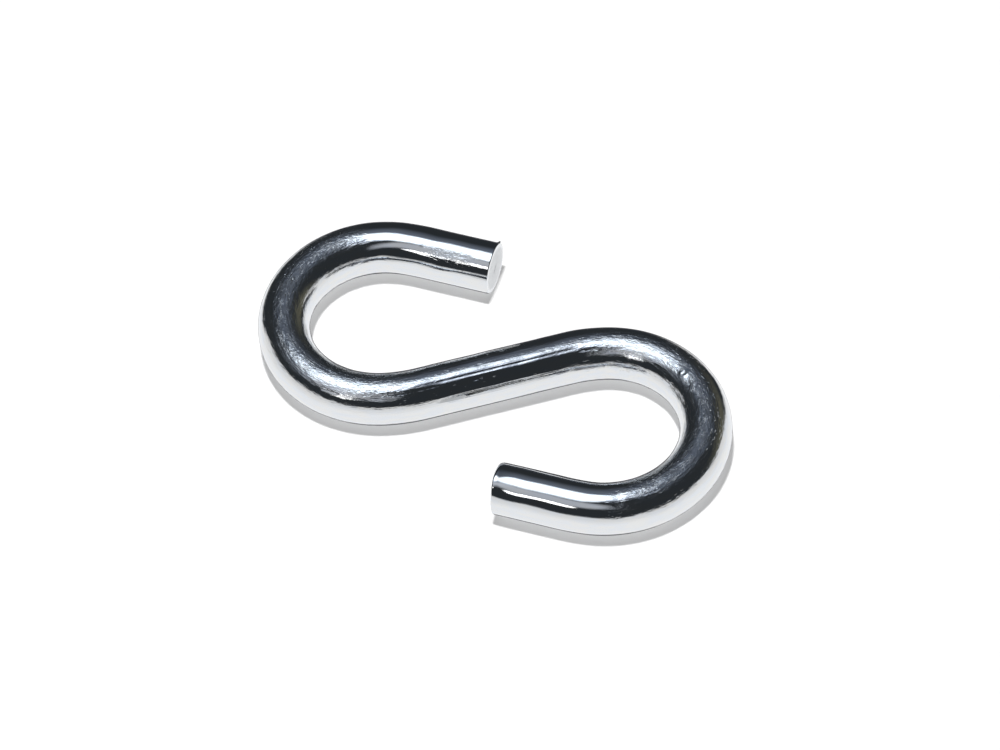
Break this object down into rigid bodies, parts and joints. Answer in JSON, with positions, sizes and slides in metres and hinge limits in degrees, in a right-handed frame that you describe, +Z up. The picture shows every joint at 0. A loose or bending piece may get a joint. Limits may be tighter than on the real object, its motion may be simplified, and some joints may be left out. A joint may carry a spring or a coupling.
{
  "type": "safety chain hook",
  "caption": "Open S-shaped hook bent from bright-plated round bar, with a saddle in each bend and a free straight tip beside each open mouth.",
  "frame": {"origin": "under the middle of the shank, on the plane that the hook lies on, at the bottom centre of its box", "axes": "+X through the centres of both main bends, along the hook's length; +Z up through the bar's thickness, as the hook lies flat; seen from +Z it reads as an S whose mouths face -X/-Y and +X/+Y"},
  "size_m": [0.0932, 0.0512, 0.0095],
  "materials": {
    "bright_zinc": "bright zinc plating over drawn and bent bar: mirror-like, with faint draw lines, mottling and scuffs at the bends"
  },
  "bodies": {
    "root": {"s_hook": "bright_zinc"}
  },
  "joints": []
}
